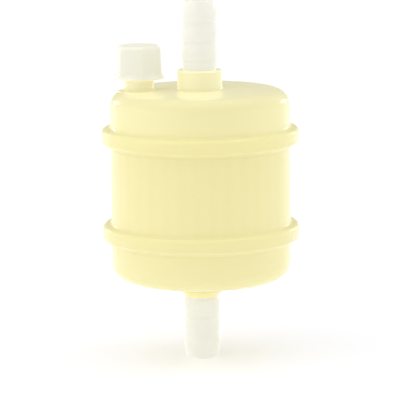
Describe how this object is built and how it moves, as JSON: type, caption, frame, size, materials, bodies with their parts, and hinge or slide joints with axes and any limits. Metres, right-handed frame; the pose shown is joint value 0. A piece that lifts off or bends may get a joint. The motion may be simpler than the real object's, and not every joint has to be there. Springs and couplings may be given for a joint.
{
  "type": "in-line capsule fuel filter",
  "caption": "Translucent yellow plastic capsule filter with barbed hose fittings at both ends, two welded flange bands, a hex-capped vent and a pleated cartridge inside.",
  "frame": {"origin": "centre of the outlet fitting's tip face, on the capsule's axis", "axes": "+Z along the capsule's axis from the outlet tip to the inlet tip; the vent neck is on the -X side"},
  "size_m": [0.072, 0.072, 0.1319],
  "materials": {
    "housing_yellow": "translucent pale yellow moulded plastic, satin gloss",
    "fitting_natural": "natural off-white moulded plastic, satin",
    "cap_white": "milky off-white moulded plastic, satin",
    "cartridge_plastic": "natural moulded plastic, matt",
    "support_fleece": "white non-woven fleece",
    "membrane": "smooth cream filter membrane",
    "seal_rubber": "matt black rubber"
  },
  "bodies": {
    "housing": {"outlet_dome": "housing_yellow", "barrel": "housing_yellow", "inlet_dome": "housing_yellow", "outlet_barb_fitting": "fitting_natural", "inlet_barb_fitting": "fitting_natural", "outlet_fitting_o_ring": "seal_rubber", "inlet_fitting_o_ring": "seal_rubber", "spigot_o_ring": "seal_rubber", "cartridge_top_cap": "cartridge_plastic", "cartridge_bottom_cap": "cartridge_plastic", "cartridge_core": "cartridge_plastic", "cartridge_cage": "cartridge_plastic", "upstream_support": "support_fleece", "filter_membrane": "membrane", "downstream_support": "support_fleece", "pleat_seam_strip": "cartridge_plastic"},
    "cap_carrier": {"vent_seal": "seal_rubber"},
    "vent_cap": {"vent_cap": "cap_white"}
  },
  "joints": [
    {"name": "vent_cap_lift", "type": "slide", "parent": "housing", "child": "cap_carrier", "axis": [0, 0, 1], "range_m": [0, 0.006]},
    {"name": "vent_cap_turn", "type": "hinge", "parent": "cap_carrier", "child": "vent_cap", "pos_m": [-0.022, 0, 0.1096], "axis": [0, 0, 1], "range_deg": [0, 720]}
  ],
  "couplings": [
    {"joint": "vent_cap_lift", "follows": "vent_cap_turn", "m_per_rad": 0.00047746}
  ]
}
